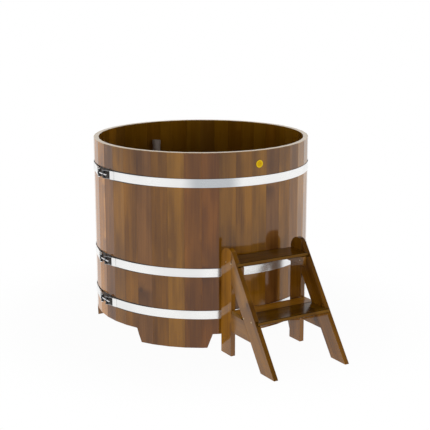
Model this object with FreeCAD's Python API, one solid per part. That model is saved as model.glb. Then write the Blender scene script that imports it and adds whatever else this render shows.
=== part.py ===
"""Round wooden plunge tub: staves, steel hoops, floor, drain with standpipe, and a step ladder.

Millimetres. The tub's axis is the Z axis, +Z is up and the ground is z = 0.
The front, where the ladder stands, faces -Y, and +X is the right as seen from the front.
Azimuths are in degrees round the tub: 0 at the front, 90 at the right, 180 at the rear.
"""
import FreeCAD, Part
import math
import os

from FreeCAD import Vector

# Tub wall
TUB_HEIGHT = 1150.0
TUB_RADIUS = 660.0
STAVE_COUNT = 42
STAVE_THICKNESS = 30.0

# Feet and the arches between them
FOOT_COUNT = 4
FIRST_FOOT_AZIMUTH = 45.0
ARCH_HEIGHT = 83.0
FOOT_GROUND_WIDTH = 404.0
FOOT_TOP_WIDTH = 464.0

# Floor, its groove in the staves, and the battens that carry it
FLOOR_TOP = 190.0
FLOOR_THICKNESS = 38.0
FLOOR_TONGUE = 18.0
CROZE_DEPTH = 12.0
CROZE_CLEARANCE = 0.3
FLOOR_BOARD_COUNT = 12
FLOOR_WALL_GAP = 2.0
BATTEN_WIDTH = 95.0
BATTEN_HEIGHT = 45.0
BATTEN_SPACING = 330.0
BATTEN_END_GAP = 10.0
BATTEN_SCREW_BITE = 15.0
BATTEN_SCREW_EDGE = 14.0

# Hoops: flat steel bands, the lowest at the floor and the highest below the rim
HOOP_WIDTH = 50.0
HOOP_THICKNESS = 2.5
HOOP_CLEARANCE = 0.2
LOWER_HOOP_HEIGHT = 202.0
UPPER_HOOP_DROP = 173.0
MIDDLE_HOOP_SHARE = 0.325

# Hoop clamps: folded lugs, cross pins (trunnions), a long bolt and its washer
CLAMP_AZIMUTH = -90.0
PIN_STANDOFF = 19.0
PIN_HALF_SPACING = 30.0
PIN_WALL = 2.0
PIN_OVERHANG = 1.0
PIN_CLEARANCE = 0.1
PIN_SEAT = 5.0
LUG_THICKNESS = 2.5
LUG_FOLD_LENGTH = 32.0
LUG_WINDOW_LENGTH = 55.0
LUG_WINDOW_HEIGHT = 44.0
LUG_OVERLAP = 35.0
BOLT_RADIUS = 5.0
BOLT_TAIL = 33.0
BOLT_CLEARANCE = 0.05
BOLT_HEAD_FLATS = 17.0
BOLT_HEAD_HEIGHT = 6.4
WASHER_RADIUS = 10.0
WASHER_THICKNESS = 2.0
WASHER_CLEARANCE = 0.25

# Badge: a plain disc with a raised rim
BADGE_RADIUS = 22.5
BADGE_THICKNESS = 3.0
BADGE_RIM = 3.0
BADGE_RECESS = 0.8
BADGE_DROP = 78.0

# Drain through the floor, near the rear wall
DRAIN_FLANGE_RADIUS = 36.0
DRAIN_FLANGE_THICKNESS = 6.0
DRAIN_THREAD_RADIUS = 23.9
DRAIN_THREAD_END = 7.0
DRAIN_SPIGOT_WALL = 3.0
DRAIN_SPIGOT_LENGTH = 45.0
DRAIN_BORE_RADIUS = 17.0
DRAIN_WALL_GAP = 4.0
DRAIN_REBATE_CLEARANCE = 0.5
DRAIN_HOLE_CLEARANCE = 1.1
DRAIN_SEAL_THICKNESS = 3.0
DRAIN_SEAL_CLEARANCE = 0.3
LOCKNUT_WALL = 6.1
LOCKNUT_HEIGHT = 12.0
LOCKNUT_CLEARANCE = 0.05

# Standpipe that plugs into the drain and sets the water level
OVERFLOW_DROP = 117.0
TUBE_RADIUS = 25.0
TUBE_WALL = 2.9
PLUG_LENGTH = 35.0
PLUG_CLEARANCE = 0.08
PLUG_COLLAR_HEIGHT = 10.0
PLUG_SPIGOT_LENGTH = 30.0
PLUG_WALL = 5.0
PIPE_SEAL_THICKNESS = 2.0
PIPE_SEAL_CLEARANCE = 0.2
PIPE_FIT_CLEARANCE = 0.05
COLLAR_WALL = 2.5
COLLAR_HEIGHT = 25.0
COLLAR_LIP = 3.0

# Step ladder: two side frames, treads let into them, cleats under the treads
LADDER_CLEARANCE = 5.0
LADDER_WIDTH = 506.0
LADDER_SHIFT = -5.5
LADDER_BOARD = 28.0
LADDER_TOP = 630.0
LEG_WIDTH = 108.0
LEG_SLANT = 35.2
TOP_ARC_SHARE = 0.6136
TREAD_THICKNESS = 22.0
TREAD_HOUSING = 18.0
TREAD_WIDTH = 152.0
UPPER_TREAD_DROP = 73.0
LOWER_TREAD_TOP = 276.0
BACK_BOARD_WIDTH = 100.0
TREAD_GAP = 4.0
CLEAT_THICKNESS = 24.0
UPPER_CLEAT_HEIGHT = 53.0
UPPER_CLEAT_LENGTH = 160.0
LOWER_CLEAT_HEIGHT = 28.0
LOWER_CLEAT_REAR_LAP = 68.0
LOWER_CLEAT_FRONT_LAP = 25.0

# Countersunk wood screws
SCREW_RADIUS = 2.2
SCREW_HEAD_RADIUS = 4.5
SCREW_HEAD_HEIGHT = 3.0
SCREW_CLEARANCE = 0.1
TREAD_SCREW_BITE = 30.5
CLEAT_SCREW_BITE = 16.0
UPPER_TREAD_SCREW_SHARES = (0.32, 0.68)
LOWER_TREAD_SCREW_SHARES = (0.09, 0.68)
BACK_BOARD_SCREW_SHARES = (0.25, 0.75)
UPPER_CLEAT_SCREW_SHARES = (0.2, 0.8)

# One overrun serves every cut
OVERRUN = 5.0

# Places worked out from the sizes above
STAVE_STEP = 360.0 / STAVE_COUNT
WALL_OUTER = TUB_RADIUS * math.cos(math.radians(STAVE_STEP / 2))
WALL_INNER = WALL_OUTER - STAVE_THICKNESS
FLOOR_UNDERSIDE = FLOOR_TOP - FLOOR_THICKNESS
FLOOR_RADIUS = WALL_INNER + CROZE_DEPTH - CROZE_CLEARANCE
HOOP_INNER = TUB_RADIUS + HOOP_CLEARANCE
HOOP_MIDDLE = HOOP_INNER + HOOP_THICKNESS / 2
UPPER_HOOP_HEIGHT = TUB_HEIGHT - UPPER_HOOP_DROP
MIDDLE_HOOP_HEIGHT = LOWER_HOOP_HEIGHT + MIDDLE_HOOP_SHARE * (UPPER_HOOP_HEIGHT - LOWER_HOOP_HEIGHT)
PIN_DISTANCE = TUB_RADIUS + PIN_STANDOFF
PIN_RADIUS = BOLT_RADIUS + PIN_WALL
DRAIN_DISTANCE = WALL_INNER - DRAIN_WALL_GAP - DRAIN_FLANGE_RADIUS
DRAIN_AXIS = Vector(0, DRAIN_DISTANCE, 0)
LADDER_REAR = HOOP_INNER + HOOP_THICKNESS + LADDER_CLEARANCE
LADDER_INSIDE = LADDER_WIDTH / 2 - LADDER_BOARD
UPPER_TREAD_TOP = LADDER_TOP - UPPER_TREAD_DROP
TOP_ARC_RADIUS = TOP_ARC_SHARE * LEG_WIDTH
SLANT_SLOPE = math.tan(math.radians(LEG_SLANT))
SLANT_LENGTH_SHARE = math.hypot(1, SLANT_SLOPE)
LEG_REACH = SLANT_SLOPE * LADDER_TOP + TOP_ARC_RADIUS * (1 + SLANT_LENGTH_SHARE - SLANT_SLOPE)
UP = Vector(0, 0, 1)


def polar(radius, azimuth, z):
    """A point at a radius and an azimuth round the tub."""
    angle = math.radians(azimuth)
    return Vector(radius * math.sin(angle), -radius * math.cos(angle), z)


def prism(points, along):
    """A solid with a flat polygon for its end, extruded along a vector."""
    return Part.Face(Part.makePolygon(points + [points[0]])).extrude(along)


def rod(radius, height, base, axis=UP):
    return Part.makeCylinder(radius, height, base, axis)


def ring(inner, outer, height, base, axis=UP):
    """A flat ring or a short tube."""
    return rod(outer, height, base, axis).cut(rod(inner, height, base, axis))


def hexagon(flats, height, base, axis, across):
    """A hexagonal prism. Two of its flats face along the direction across."""
    side = axis.cross(across)
    corner = flats / 2 / math.cos(math.radians(30))
    angles = [math.radians(60 * i + 30) for i in range(6)]
    points = [base + across * (corner * math.cos(a)) + side * (corner * math.sin(a)) for a in angles]
    return prism(points, axis * height)


def screw(head, axis, length, clearance=0.0):
    """A countersunk screw from the centre of its head's face, or its hole with a clearance."""
    cone = Part.makeCone(
        SCREW_HEAD_RADIUS + clearance, SCREW_RADIUS + clearance, SCREW_HEAD_HEIGHT, head, axis)
    return cone.fuse(rod(SCREW_RADIUS + clearance, length + clearance, head, axis)).removeSplitter()


def export(name, shapes):
    """Write one sub-part, a single solid or a group of like solids."""
    solids = [solid for shape in shapes for solid in shape.Solids]
    shape = solids[0] if len(solids) == 1 else Part.makeCompound(solids)
    shape.exportStep(f"parts/{name}.step")


# Tub wall

def arch_cutter(centre):
    """The space of one arch: a straight cut through the wall, with sides that slope like the feet's."""
    half_ground = 180 / FOOT_COUNT - math.degrees(math.asin(FOOT_GROUND_WIDTH / 2 / TUB_RADIUS))
    half_top = 180 / FOOT_COUNT - math.degrees(math.asin(FOOT_TOP_WIDTH / 2 / TUB_RADIUS))
    ground = TUB_RADIUS * math.sin(math.radians(half_ground))
    top = TUB_RADIUS * math.sin(math.radians(half_top))
    below = ground + (ground - top) * OVERRUN / ARCH_HEIGHT
    across = polar(1, centre + 90, 0)
    outline = [
        across * -below - UP * OVERRUN, across * below - UP * OVERRUN,
        across * top + UP * ARCH_HEIGHT, across * -top + UP * ARCH_HEIGHT,
    ]
    return prism(outline, polar(TUB_RADIUS + OVERRUN, centre, 0))


def stave(centre, cutters):
    """One board of the wall, mitred to its neighbours, with what the cutters take from it."""
    half = STAVE_STEP / 2
    inner_corner = WALL_INNER / math.cos(math.radians(half))
    points = [
        polar(TUB_RADIUS, centre - half, 0),
        polar(TUB_RADIUS, centre + half, 0),
        polar(inner_corner, centre + half, 0),
        polar(inner_corner, centre - half, 0),
    ]
    board = prism(points, UP * TUB_HEIGHT)
    for cutter in cutters:
        board = board.cut(cutter)
    return board


def wall():
    """The staves in groups: those of each foot, and those over each arch."""
    croze = rod(WALL_INNER + CROZE_DEPTH, FLOOR_TONGUE, UP * (FLOOR_TOP - FLOOR_TONGUE))
    spacing = 360 / FOOT_COUNT
    foot_half = math.degrees(math.asin(FOOT_TOP_WIDTH / 2 / TUB_RADIUS))
    corners = ["front_right", "rear_right", "rear_left", "front_left"]
    sides = ["front", "right", "rear", "left"]
    groups = {}
    for index in range(STAVE_COUNT):
        centre = index * STAVE_STEP
        place = (centre - FIRST_FOOT_AZIMUTH) / spacing
        foot = FIRST_FOOT_AZIMUTH + round(place) * spacing
        arch = FIRST_FOOT_AZIMUTH + (math.floor(place) + 0.5) * spacing
        if abs(centre - foot) < foot_half:
            name = f"staves_foot_{corners[math.floor(foot / 90) % 4]}"
        else:
            name = f"staves_arch_{sides[round(arch / 90) % 4]}"
        groups.setdefault(name, []).append(stave(centre, [croze, arch_cutter(arch)]))
    for name, boards in groups.items():
        export(name, boards)


# Floor

def batten_half_length(y):
    """Half the chord of the wall at a batten, less the gap at its end."""
    edge = abs(y) + BATTEN_WIDTH / 2
    return math.sqrt((WALL_INNER - FLOOR_WALL_GAP) ** 2 - edge ** 2) - BATTEN_END_GAP


def batten_screw_heads(y, board_width):
    """The middle of each board's lap on a batten, at the batten's underside."""
    half = batten_half_length(y)
    heads = []
    for index in range(FLOOR_BOARD_COUNT):
        low = max(-FLOOR_RADIUS + index * board_width, -half)
        high = min(-FLOOR_RADIUS + (index + 1) * board_width, half)
        if high - low > 2 * BATTEN_SCREW_EDGE:
            heads.append(Vector((low + high) / 2, y, FLOOR_UNDERSIDE - BATTEN_HEIGHT))
    return heads


def tub_floor():
    """Boards in the groove, battens under them, and the screws from below."""
    tongue = rod(FLOOR_RADIUS, FLOOR_TONGUE, UP * (FLOOR_TOP - FLOOR_TONGUE))
    body = rod(WALL_INNER - FLOOR_WALL_GAP, FLOOR_THICKNESS, UP * FLOOR_UNDERSIDE)
    drain_hole = rod(
        DRAIN_THREAD_RADIUS + DRAIN_HOLE_CLEARANCE, FLOOR_THICKNESS, DRAIN_AXIS + UP * FLOOR_UNDERSIDE)
    rebate = rod(
        DRAIN_FLANGE_RADIUS + DRAIN_REBATE_CLEARANCE, DRAIN_FLANGE_THICKNESS,
        DRAIN_AXIS + UP * (FLOOR_TOP - DRAIN_FLANGE_THICKNESS))
    disc = tongue.fuse(body).cut(drain_hole).cut(rebate)
    board_width = 2 * FLOOR_RADIUS / FLOOR_BOARD_COUNT
    screw_length = BATTEN_HEIGHT + BATTEN_SCREW_BITE
    rows = {"front": -BATTEN_SPACING, "middle": 0.0, "rear": BATTEN_SPACING}
    heads = [head for y in rows.values() for head in batten_screw_heads(y, board_width)]
    screw_holes = Part.makeCompound([screw(head, UP, screw_length, SCREW_CLEARANCE) for head in heads])
    boards = []
    for index in range(FLOOR_BOARD_COUNT):
        corner = Vector(-FLOOR_RADIUS + index * board_width, -FLOOR_RADIUS, FLOOR_UNDERSIDE)
        slab = Part.makeBox(board_width, 2 * FLOOR_RADIUS, FLOOR_THICKNESS, corner)
        boards.append(disc.common(slab).cut(screw_holes))
    export("floor_boards", boards)
    for name, y in rows.items():
        half = batten_half_length(y)
        corner = Vector(-half, y - BATTEN_WIDTH / 2, FLOOR_UNDERSIDE - BATTEN_HEIGHT)
        batten = Part.makeBox(2 * half, BATTEN_WIDTH, BATTEN_HEIGHT, corner)
        export(f"floor_batten_{name}", [batten.cut(screw_holes)])
    export("floor_screws", [screw(head, UP, screw_length) for head in heads])


# Hoops and their clamps

def clamp_point(along, out, z):
    """A point at a clamp: along the bolt towards the front, and out from the tub's axis."""
    angle = math.radians(CLAMP_AZIMUTH)
    radial = Vector(math.sin(angle), -math.cos(angle), 0)
    tangent = Vector(math.cos(angle), math.sin(angle), 0)
    return tangent * along + radial * out + UP * z


BOLT_AXIS = clamp_point(1, 0, 0)
CLAMP_OUT = clamp_point(0, 1, 0)


def strap_line(side):
    """The straight run from a pin to the hoop's circle, side 1 at the front and -1 at the rear.

    Gives two unit vectors: outwards, square to the run, and along it from the pin to the band.
    """
    pin_angle = math.atan2(PIN_HALF_SPACING, PIN_DISTANCE)
    reach = math.hypot(PIN_HALF_SPACING, PIN_DISTANCE)
    tangent_angle = pin_angle + math.acos(HOOP_MIDDLE / reach)
    outward = clamp_point(side * math.sin(tangent_angle), math.cos(tangent_angle), 0)
    towards_band = clamp_point(side * math.cos(tangent_angle), -math.sin(tangent_angle), 0)
    return outward, towards_band


def pin_centre(side, z):
    return clamp_point(side * PIN_HALF_SPACING, PIN_DISTANCE, z)


def hoop_band(z):
    """The flat band: most of a circle, with straight ends that run off it to the lugs."""
    low = z - HOOP_WIDTH / 2
    edges = []
    ends = {}
    for offset in (-HOOP_THICKNESS / 2, HOOP_THICKNESS / 2):
        radius = HOOP_MIDDLE + offset
        for side in (1, -1):
            outward, towards_band = strap_line(side)
            touch = outward * radius + UP * low
            end = pin_centre(side, low) + outward * offset + towards_band * LUG_WINDOW_LENGTH
            edges.append(Part.LineSegment(touch, end).toShape())
            ends[offset, side] = (touch, end)
        arc = Part.Arc(ends[offset, 1][0], UP * low - CLAMP_OUT * radius, ends[offset, -1][0])
        edges.append(arc.toShape())
    for side in (1, -1):
        inner_end = ends[-HOOP_THICKNESS / 2, side][1]
        outer_end = ends[HOOP_THICKNESS / 2, side][1]
        edges.append(Part.LineSegment(inner_end, outer_end).toShape())
    wire = Part.Wire(Part.__sortEdges__(edges))
    return Part.Face(wire).extrude(UP * HOOP_WIDTH)


def lug(side, z):
    """A strap folded round its pin, with both leaves on the band's end and a window for the bolt."""
    outward, towards_band = strap_line(side)
    centre = pin_centre(side, z - HOOP_WIDTH / 2)

    def at(along, out):
        return centre + towards_band * along + outward * out

    inner = PIN_RADIUS + PIN_CLEARANCE
    outer = inner + LUG_THICKNESS
    leaf = HOOP_THICKNESS / 2
    back = leaf + LUG_THICKNESS
    end = LUG_WINDOW_LENGTH + LUG_OVERLAP
    turn = math.atan2(leaf, LUG_FOLD_LENGTH) + math.acos(inner / math.hypot(leaf, LUG_FOLD_LENGTH))
    cosine, sine = math.cos(turn), math.sin(turn)
    mitre = (outer - back * sine) / cosine
    outside = [at(end, back), at(mitre, back), at(outer * cosine, outer * sine)]
    outside_back = [at(outer * cosine, -outer * sine), at(mitre, -back), at(end, -back)]
    inside = [at(end, -leaf), at(LUG_FOLD_LENGTH, -leaf), at(inner * cosine, -inner * sine)]
    inside_back = [at(inner * cosine, inner * sine), at(LUG_FOLD_LENGTH, leaf), at(end, leaf)]
    edges = Part.makePolygon(outside).Edges
    edges.append(Part.Arc(outside[-1], at(-outer, 0), outside_back[0]).toShape())
    edges += Part.makePolygon(outside_back + inside).Edges
    edges.append(Part.Arc(inside[-1], at(-inner, 0), inside_back[0]).toShape())
    edges += Part.makePolygon(inside_back + [outside[0]]).Edges
    strap = Part.Face(Part.Wire(Part.__sortEdges__(edges))).extrude(UP * HOOP_WIDTH)
    near, far = -outer - OVERRUN, LUG_WINDOW_LENGTH
    reach = outer + OVERRUN
    corners = [at(near, -reach), at(far, -reach), at(far, reach), at(near, reach)]
    lift = UP * ((HOOP_WIDTH - LUG_WINDOW_HEIGHT) / 2)
    window = prism([corner + lift for corner in corners], UP * LUG_WINDOW_HEIGHT)
    return strap.cut(window)


def trunnion(side, z, seat):
    """A cross pin with a hole for the bolt. The rear one has a milled seat for the washer."""
    length = HOOP_WIDTH + 2 * PIN_OVERHANG
    pin = rod(PIN_RADIUS, length, pin_centre(side, z - length / 2))
    if seat:
        start = clamp_point(side * (PIN_HALF_SPACING + PIN_SEAT), PIN_DISTANCE, z)
        pin = pin.cut(rod(WASHER_RADIUS + WASHER_CLEARANCE, PIN_RADIUS, start, BOLT_AXIS * side))
    hole_start = clamp_point(side * PIN_HALF_SPACING - PIN_RADIUS, PIN_DISTANCE, z)
    return pin.cut(rod(BOLT_RADIUS + BOLT_CLEARANCE, 2 * PIN_RADIUS, hole_start, BOLT_AXIS))


def clamp_bolt(z):
    """A hexagon bolt whose head bears on the rear pin and whose thread runs on past the front one."""
    under_head = -PIN_HALF_SPACING - PIN_SEAT - WASHER_THICKNESS
    start = clamp_point(under_head, PIN_DISTANCE, z)
    shank = rod(BOLT_RADIUS, PIN_HALF_SPACING + BOLT_TAIL - under_head, start, BOLT_AXIS)
    head = hexagon(BOLT_HEAD_FLATS, BOLT_HEAD_HEIGHT, start, -BOLT_AXIS, CLAMP_OUT)
    return head.fuse(shank).removeSplitter()


def hoops():
    heights = {"upper": UPPER_HOOP_HEIGHT, "middle": MIDDLE_HOOP_HEIGHT, "lower": LOWER_HOOP_HEIGHT}
    for name, z in heights.items():
        washer_start = clamp_point(-PIN_HALF_SPACING - PIN_SEAT, PIN_DISTANCE, z)
        washer = ring(
            BOLT_RADIUS + WASHER_CLEARANCE, WASHER_RADIUS, WASHER_THICKNESS, washer_start, -BOLT_AXIS)
        export(f"{name}_hoop_band", [hoop_band(z)])
        export(f"{name}_hoop_front_lug", [lug(1, z)])
        export(f"{name}_hoop_rear_lug", [lug(-1, z)])
        export(f"{name}_hoop_tapped_pin", [trunnion(1, z, False)])
        export(f"{name}_hoop_plain_pin", [trunnion(-1, z, True)])
        export(f"{name}_hoop_bolt", [clamp_bolt(z)])
        export(f"{name}_hoop_washer", [washer])


# Badge

def badge():
    """A disc on the front stave, with a raised rim round a plain field."""
    forward = Vector(0, -1, 0)
    back = polar(WALL_OUTER, 0, TUB_HEIGHT - BADGE_DROP)
    disc = rod(BADGE_RADIUS, BADGE_THICKNESS, back, forward)
    field_back = back + forward * (BADGE_THICKNESS - BADGE_RECESS)
    export("badge", [disc.cut(rod(BADGE_RADIUS - BADGE_RIM, BADGE_RECESS, field_back, forward))])


# Drain and standpipe

def drain():
    """A flanged body through the floor, with a spigot for the waste pipe, its seal and its lock nut."""
    seal_base = DRAIN_AXIS + UP * (FLOOR_UNDERSIDE - DRAIN_SEAL_THICKNESS)
    nut_base = seal_base - UP * LOCKNUT_HEIGHT
    thread_base = nut_base - UP * DRAIN_THREAD_END
    spigot_base = thread_base - UP * DRAIN_SPIGOT_LENGTH
    flange_base = DRAIN_AXIS + UP * (FLOOR_TOP - DRAIN_FLANGE_THICKNESS)
    flange = rod(DRAIN_FLANGE_RADIUS, DRAIN_FLANGE_THICKNESS, flange_base)
    thread = rod(DRAIN_THREAD_RADIUS, FLOOR_TOP - thread_base.z, thread_base)
    spigot = rod(DRAIN_BORE_RADIUS + DRAIN_SPIGOT_WALL, DRAIN_SPIGOT_LENGTH, spigot_base)
    bore = rod(DRAIN_BORE_RADIUS, FLOOR_TOP - spigot_base.z, spigot_base)
    export("drain_body", [flange.fuse([thread, spigot]).removeSplitter().cut(bore)])
    seal_inner = DRAIN_THREAD_RADIUS + DRAIN_SEAL_CLEARANCE
    export("drain_seal", [ring(seal_inner, DRAIN_FLANGE_RADIUS, DRAIN_SEAL_THICKNESS, seal_base)])
    nut_inner = DRAIN_THREAD_RADIUS + LOCKNUT_CLEARANCE
    nut = hexagon(2 * (DRAIN_THREAD_RADIUS + LOCKNUT_WALL), LOCKNUT_HEIGHT, nut_base, UP, BOLT_AXIS)
    export("drain_locknut", [nut.cut(rod(nut_inner, LOCKNUT_HEIGHT, nut_base))])


def standpipe():
    """The tube, the plug at its foot, the seal under the plug's collar, and the collar at the top."""
    top = TUB_HEIGHT - OVERFLOW_DROP
    tube_inner = TUBE_RADIUS - TUBE_WALL
    plug_radius = DRAIN_BORE_RADIUS - PLUG_CLEARANCE
    plug_base = DRAIN_AXIS + UP * (FLOOR_TOP - PLUG_LENGTH)
    flange_base = DRAIN_AXIS + UP * (FLOOR_TOP + PIPE_SEAL_THICKNESS)
    tube_base = flange_base + UP * PLUG_COLLAR_HEIGHT
    seal = ring(
        plug_radius + PIPE_SEAL_CLEARANCE, TUBE_RADIUS, PIPE_SEAL_THICKNESS, DRAIN_AXIS + UP * FLOOR_TOP)
    export("standpipe_seal", [seal])
    nose = rod(plug_radius, flange_base.z - plug_base.z, plug_base)
    flange = rod(TUBE_RADIUS, PLUG_COLLAR_HEIGHT, flange_base)
    spigot = rod(tube_inner - PIPE_FIT_CLEARANCE, PLUG_SPIGOT_LENGTH, tube_base)
    bore = rod(plug_radius - PLUG_WALL, tube_base.z + PLUG_SPIGOT_LENGTH - plug_base.z, plug_base)
    export("standpipe_plug", [nose.fuse([flange, spigot]).removeSplitter().cut(bore)])
    tube = ring(tube_inner, TUBE_RADIUS, top - COLLAR_LIP - tube_base.z, tube_base)
    export("standpipe_tube", [tube])
    collar_base = DRAIN_AXIS + UP * (top - COLLAR_HEIGHT)
    socket_radius = TUBE_RADIUS + PIPE_FIT_CLEARANCE
    collar = ring(tube_inner, socket_radius + COLLAR_WALL, COLLAR_HEIGHT, collar_base)
    export("standpipe_collar", [collar.cut(rod(socket_radius, COLLAR_HEIGHT - COLLAR_LIP, collar_base))])


# Step ladder

def ladder_point(forward, across, z):
    """A point on the ladder: forward from its rear edge, and across from its centre line."""
    return Vector(LADDER_SHIFT + across, -LADDER_REAR - forward, z)


def front_line(z):
    """How far forward the slanted leg's front edge is at a height."""
    return LEG_REACH - SLANT_SLOPE * z


def back_line(z):
    return front_line(z) - LEG_WIDTH * SLANT_LENGTH_SHARE


def board_from_outline(edges):
    """A board of the side frame, from edges drawn at its left face."""
    return Part.Face(Part.Wire(Part.__sortEdges__(edges))).extrude(Vector(LADDER_BOARD, 0, 0))


def frame_legs(across):
    """The rear leg and the slanted leg. One arc rounds the top of both."""
    radius = TOP_ARC_RADIUS

    def on_arc(angle):
        forward, up = radius * math.cos(angle), radius * math.sin(angle)
        return ladder_point(radius + forward, across, LADDER_TOP - radius + up)

    joint_angle = math.acos(LEG_WIDTH / radius - 1)
    tangent_angle = math.atan(SLANT_SLOPE)
    joint_top = on_arc(joint_angle)
    joint_low = ladder_point(LEG_WIDTH, across, (back_line(0) - LEG_WIDTH) / SLANT_SLOPE)
    rear_arc = Part.Arc(on_arc(math.pi), on_arc((math.pi + joint_angle) / 2), joint_top)
    rear_outline = [joint_top, ladder_point(LEG_WIDTH, across, 0), ladder_point(0, across, 0), on_arc(math.pi)]
    rear = board_from_outline(Part.makePolygon(rear_outline).Edges + [rear_arc.toShape()])
    tangent = on_arc(tangent_angle)
    front_arc = Part.Arc(joint_top, on_arc((joint_angle + tangent_angle) / 2), tangent)
    front_outline = [
        tangent, ladder_point(front_line(0), across, 0), ladder_point(back_line(0), across, 0),
        joint_low, joint_top,
    ]
    front = board_from_outline(Part.makePolygon(front_outline).Edges + [front_arc.toShape()])
    return rear, front


def brace(across):
    """The board between the legs, with its top level with the lower tread's underside."""
    top = LOWER_TREAD_TOP - TREAD_THICKNESS
    low = top - LEG_WIDTH
    outline = [
        ladder_point(LEG_WIDTH, across, low), ladder_point(back_line(low), across, low),
        ladder_point(back_line(top), across, top), ladder_point(LEG_WIDTH, across, top),
    ]
    return prism(outline, Vector(LADDER_BOARD, 0, 0))


def tread(start, width, top, half_length):
    corner = ladder_point(start + width, -half_length, top - TREAD_THICKNESS)
    return Part.makeBox(2 * half_length, width, TREAD_THICKNESS, corner)


def housing(side, start, top):
    """The slot in a side frame that takes a tread's end and is open to the front."""
    across = LADDER_INSIDE if side > 0 else -LADDER_INSIDE - TREAD_HOUSING
    corner = ladder_point(LEG_REACH, across, top - TREAD_THICKNESS)
    return Part.makeBox(TREAD_HOUSING, LEG_REACH - start, TREAD_THICKNESS, corner)


def cleat(side, start, end, top, height):
    """A batten on a frame's inner face, right under a tread."""
    across = LADDER_INSIDE - CLEAT_THICKNESS if side > 0 else -LADDER_INSIDE
    return Part.makeBox(CLEAT_THICKNESS, end - start, height, ladder_point(end, across, top - height))


def shares_between(shares, low, high):
    return [low + share * (high - low) for share in shares]


def tread_screws(side, start, top, shares):
    """Screws from outside, through the legs and into a tread's end, where the two lap."""
    z = top - TREAD_THICKNESS / 2
    low = max(start, back_line(z) if start > LEG_WIDTH else 0)
    high = min(start + TREAD_WIDTH, front_line(z))
    places = []
    for forward in shares_between(shares, low, high):
        head = ladder_point(forward, side * LADDER_WIDTH / 2, z)
        places.append((head, Vector(-side, 0, 0), LADDER_BOARD + TREAD_SCREW_BITE))
    return places


def cleat_screws(side, forwards, z):
    """Screws from inside, through a cleat and into the side frame."""
    places = []
    for forward in forwards:
        head = ladder_point(forward, side * (LADDER_INSIDE - CLEAT_THICKNESS), z)
        places.append((head, Vector(side, 0, 0), CLEAT_THICKNESS + CLEAT_SCREW_BITE))
    return places


def back_board_screws(side, start, underside):
    """Screws from below, through the lower cleat and into the back board."""
    across = side * (LADDER_INSIDE - CLEAT_THICKNESS / 2)
    places = []
    for forward in shares_between(BACK_BOARD_SCREW_SHARES, start, start + BACK_BOARD_WIDTH):
        head = ladder_point(forward, across, underside - LOWER_CLEAT_HEIGHT)
        places.append((head, UP, LOWER_CLEAT_HEIGHT + CLEAT_SCREW_BITE))
    return places


def ladder():
    """Two side frames, three boards, the cleats that carry these, and every screw.

    The lower back board runs out over both braces. The other two end in slots of the legs.
    """
    upper_underside = UPPER_TREAD_TOP - TREAD_THICKNESS
    lower_underside = LOWER_TREAD_TOP - TREAD_THICKNESS
    back_start = LEG_WIDTH + TREAD_GAP
    front_start = back_start + BACK_BOARD_WIDTH + TREAD_GAP
    cleat_z = lower_underside - LOWER_CLEAT_HEIGHT / 2
    cleat_start = LEG_WIDTH - LOWER_CLEAT_REAR_LAP
    leg_edge = back_line(cleat_z)
    cleat_end = leg_edge + LOWER_CLEAT_FRONT_LAP
    lap_middles = [(cleat_start + LEG_WIDTH) / 2, (LEG_WIDTH + leg_edge) / 2, (leg_edge + cleat_end) / 2]
    housed_end = LADDER_INSIDE + TREAD_HOUSING
    pieces = {
        "ladder_upper_tread": tread(0, TREAD_WIDTH, UPPER_TREAD_TOP, housed_end),
        "ladder_lower_back_board": tread(back_start, BACK_BOARD_WIDTH, LOWER_TREAD_TOP, LADDER_WIDTH / 2),
        "ladder_lower_front_board": tread(front_start, TREAD_WIDTH, LOWER_TREAD_TOP, housed_end),
    }
    screws = []
    for name, side, across in (("left", -1, -LADDER_WIDTH / 2), ("right", 1, LADDER_INSIDE)):
        rear, front = frame_legs(across)
        slots = housing(side, 0, UPPER_TREAD_TOP).fuse(housing(side, front_start, LOWER_TREAD_TOP))
        pieces[f"ladder_{name}_rear_leg"] = rear.cut(slots)
        pieces[f"ladder_{name}_front_leg"] = front.cut(slots)
        pieces[f"ladder_{name}_brace"] = brace(across)
        pieces[f"ladder_{name}_upper_cleat"] = cleat(
            side, 0, UPPER_CLEAT_LENGTH, upper_underside, UPPER_CLEAT_HEIGHT)
        pieces[f"ladder_{name}_lower_cleat"] = cleat(
            side, cleat_start, cleat_end, lower_underside, LOWER_CLEAT_HEIGHT)
        screws += tread_screws(side, 0, UPPER_TREAD_TOP, UPPER_TREAD_SCREW_SHARES)
        screws += tread_screws(side, front_start, LOWER_TREAD_TOP, LOWER_TREAD_SCREW_SHARES)
        screws += cleat_screws(
            side, shares_between(UPPER_CLEAT_SCREW_SHARES, 0, UPPER_CLEAT_LENGTH),
            upper_underside - UPPER_CLEAT_HEIGHT / 2)
        screws += cleat_screws(side, lap_middles, cleat_z)
        screws += back_board_screws(side, back_start, lower_underside)
    holes = Part.makeCompound([screw(*place, SCREW_CLEARANCE) for place in screws])
    for name, piece in pieces.items():
        export(name, [piece.cut(holes)])
    export("ladder_screws", [screw(*place) for place in screws])


os.makedirs("parts", exist_ok=True)
wall()
tub_floor()
hoops()
badge()
drain()
standpipe()
ladder()
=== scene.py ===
"""The finished look of the wooden plunge tub and its step ladder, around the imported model.

Metres. The tub's axis is Z, the ground is z = 0 and the ladder stands at the front, towards -Y.
Sections follow the object as it is put together, and the room comes last.
"""
import math
import random

import bmesh
import bpy
from mathutils import Matrix, Vector


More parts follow.
